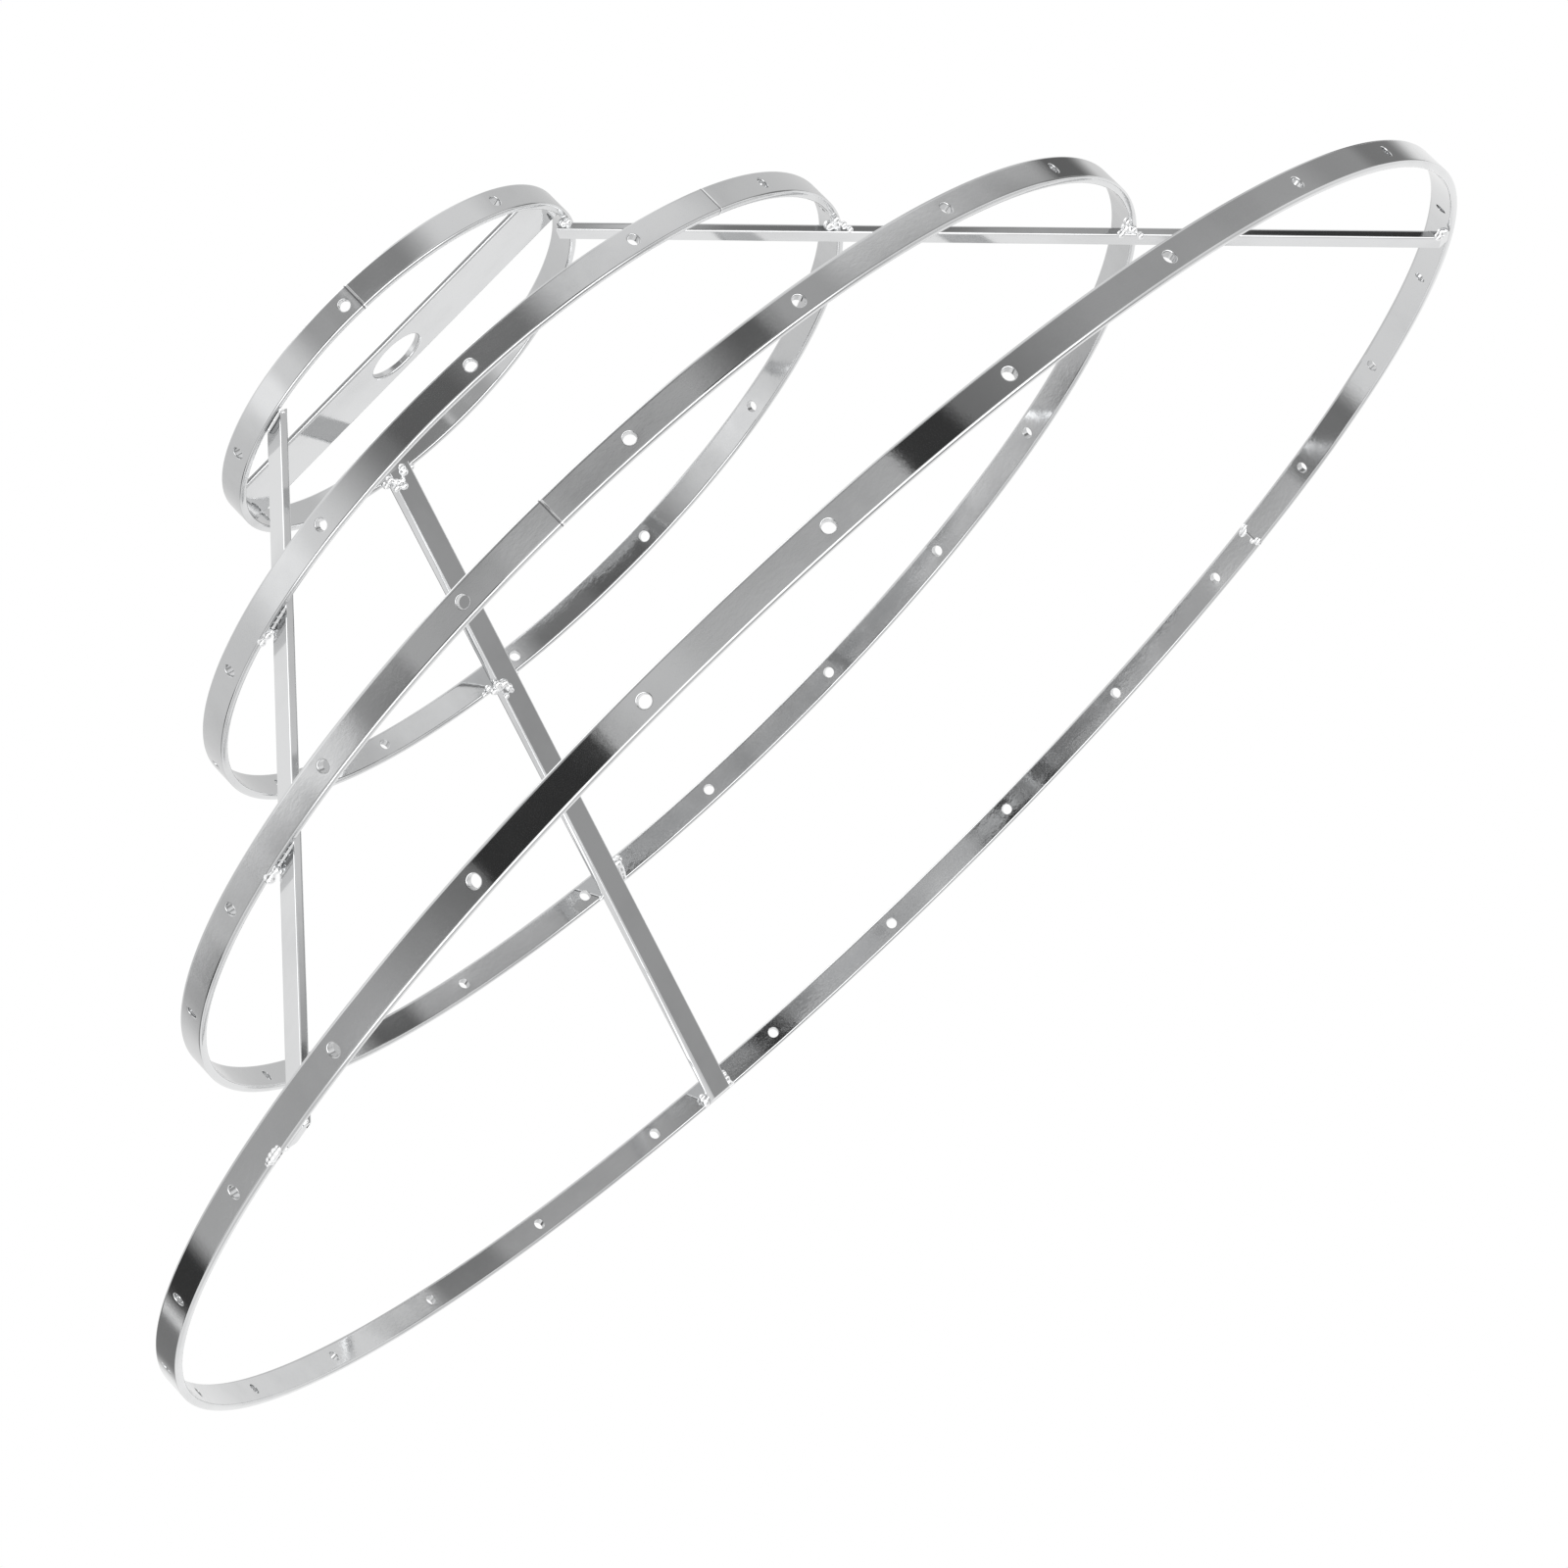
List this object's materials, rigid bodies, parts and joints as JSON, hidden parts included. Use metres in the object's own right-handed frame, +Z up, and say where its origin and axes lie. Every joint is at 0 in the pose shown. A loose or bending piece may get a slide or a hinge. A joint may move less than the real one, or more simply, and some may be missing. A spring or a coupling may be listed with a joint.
{
  "type": "chandelier ring frame",
  "caption": "Stepped cone of chrome flat-strip hoops on straight inner struts, with a drilled crossbar for a lamp nipple and rows of small holes for hanging crystals.",
  "frame": {"origin": "centre of the largest hoop, in the plane of its lower edge", "axes": "+Z up through the nipple hole, from the largest hoop to the smallest; +X along the crossbar"},
  "size_m": [0.28, 0.28, 0.1105],
  "materials": {
    "hoop": "bright chrome plate over rolled steel strip",
    "strut": "bright chrome plate over flat steel strip",
    "crossbar": "bright chrome plate over flat steel bar",
    "weld": "bright chrome plate over small weld beads"
  },
  "bodies": {
    "root": {"top_hoop": "hoop", "second_hoop": "hoop", "third_hoop": "hoop", "bottom_hoop": "hoop", "right_strut": "strut", "rear_strut": "strut", "front_strut": "strut", "crossbar": "crossbar", "crossbar_right_weld": "weld", "crossbar_left_weld": "weld", "top_hoop_right_weld": "weld", "top_hoop_rear_weld": "weld", "top_hoop_front_weld": "weld", "second_hoop_right_weld": "weld", "second_hoop_rear_weld": "weld", "second_hoop_front_weld": "weld", "third_hoop_right_weld": "weld", "third_hoop_rear_weld": "weld", "third_hoop_front_weld": "weld", "bottom_hoop_right_weld": "weld", "bottom_hoop_rear_weld": "weld", "bottom_hoop_front_weld": "weld", "top_hoop_seam": "weld", "second_hoop_seam": "weld", "third_hoop_seam": "weld", "bottom_hoop_seam": "weld"}
  },
  "joints": []
}
